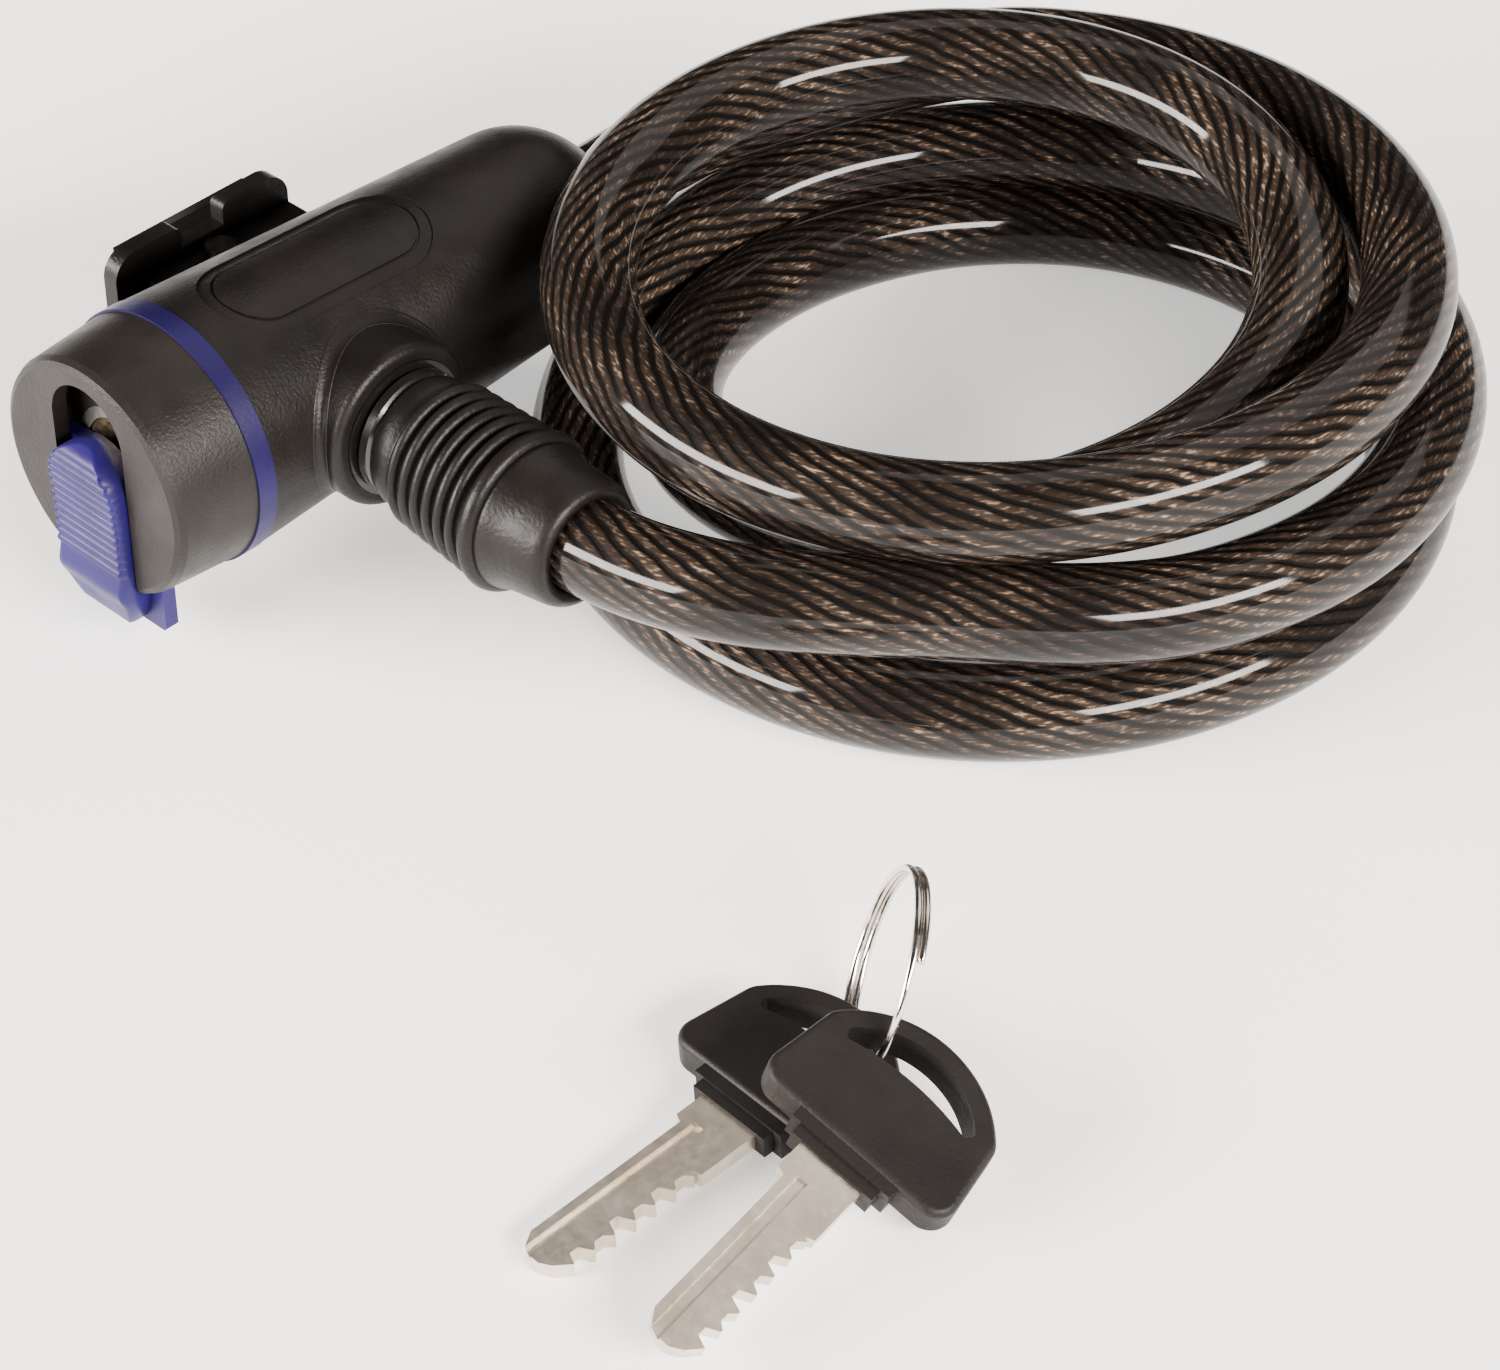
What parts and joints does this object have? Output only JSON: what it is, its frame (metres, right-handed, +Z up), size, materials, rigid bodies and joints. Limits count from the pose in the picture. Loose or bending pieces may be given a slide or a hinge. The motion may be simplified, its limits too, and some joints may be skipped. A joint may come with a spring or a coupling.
{
  "type": "cable lock",
  "caption": "Bicycle cable lock: a tapered key lock housing whose plug closes a coiled steel cable into a loop, with a frame bracket and keys on a split ring.",
  "frame": {"origin": "on the surface it lies on, in the middle of the footprint of the lock, its bracket and the keys", "axes": "+X along the housing towards the cable exit and along the bracket's tube seat, +Y towards the bracket, +Z up"},
  "size_m": [0.1983, 0.176, 0.0436],
  "materials": {
    "black_shell": "moulded grain, soft sheen",
    "blue_plastic": "smooth moulded, satin",
    "cap_plastic": "moulded grain",
    "badge": "fine grain, blank",
    "zinc": "die cast zinc, as cast",
    "brass": "turned, nickel wash",
    "steel": "turned steel",
    "bellows_rubber": "satin black rubber",
    "cable_jacket": "smoked clear PVC over steel rope",
    "key_steel": "nickel plated",
    "key_plastic": "moulded grain",
    "bracket_plastic": "moulded",
    "liner_rubber": "soft rubber",
    "ring_steel": "bright plated wire",
    "socket_gloss": "polished black"
  },
  "bodies": {
    "lock_body": {"housing": "black_shell", "badge_plate": "badge", "accent_ring": "blue_plastic", "front_cap": "cap_plastic", "cap_screws": "steel", "core_frame": "zinc", "core_roll_pin": "steel", "socket_ring": "socket_gloss", "cable_anchor": "steel", "cylinder_shell": "brass", "driver_pins": "brass", "pin_springs": "steel", "pin_cover": "brass", "mount_rail": "bracket_plastic", "rail_screws": "steel", "cable_lead": "cable_jacket", "cable_coil": "cable_jacket", "cable_tail": "cable_jacket", "latch_spring": "steel"},
    "dust_slider": {"dust_slider": "blue_plastic"},
    "key_cylinder": {"lock_cylinder": "brass", "key_pins": "brass", "cam": "zinc"},
    "latch": {"latch": "steel"},
    "plug": {"lock_pin": "steel", "plug_flange": "socket_gloss", "pin_ferrule": "steel", "plug_cable": "cable_jacket", "bellows_sleeve": "bellows_rubber", "end_collar": "bellows_rubber"},
    "bracket": {"bracket_saddle": "bracket_plastic", "bracket_screw": "steel", "bracket_liner": "liner_rubber"},
    "key_a": {"key_blade_a": "key_steel", "key_head_a": "key_plastic"},
    "key_b": {"key_blade_b": "key_steel", "key_head_b": "key_plastic"},
    "key_ring": {"split_ring": "ring_steel"}
  },
  "joints": [
    {"name": "slider_slide", "type": "slide", "parent": "lock_body", "child": "dust_slider", "axis": [0, 0, 1], "range_m": [-0.016, 0.005]},
    {"name": "cylinder_turn", "type": "hinge", "parent": "lock_body", "child": "key_cylinder", "pos_m": [-0.01007, 0.05531, 0.024], "axis": [1, 0, 0], "range_deg": [0, 90]},
    {"name": "latch_slide", "type": "slide", "parent": "lock_body", "child": "latch", "axis": [0, 0, 1], "range_m": [0, 0.002], "deforming": ["latch_spring"]},
    {"name": "plug_slide", "type": "slide", "parent": "lock_body", "child": "plug", "axis": [0, -1, 0], "range_m": [0, 0.03], "deforming": ["cable_tail"]},
    {"name": "bracket_slide", "type": "slide", "parent": "lock_body", "child": "bracket", "axis": [1, 0, 0], "range_m": [0, 0.028]},
    {"name": "key_lift", "type": "slide", "parent": "lock_body", "child": "key_a", "axis": [0, 0, 1], "range_m": [0, 0.06]},
    {"name": "key_b_swing", "type": "hinge", "parent": "key_a", "child": "key_b", "pos_m": [-0.01657, -0.06569, 0.01], "axis": [0, 0, 1], "range_deg": [0, 8]},
    {"name": "ring_tilt", "type": "hinge", "parent": "key_a", "child": "key_ring", "pos_m": [-0.01227, -0.06029, 0.0011], "axis": [-0.7325, -0.6808, 0], "range_deg": [0, 5]}
  ],
  "couplings": [
    {"joint": "latch_slide", "follows": "cylinder_turn", "m_per_rad": 0.0012732}
  ]
}
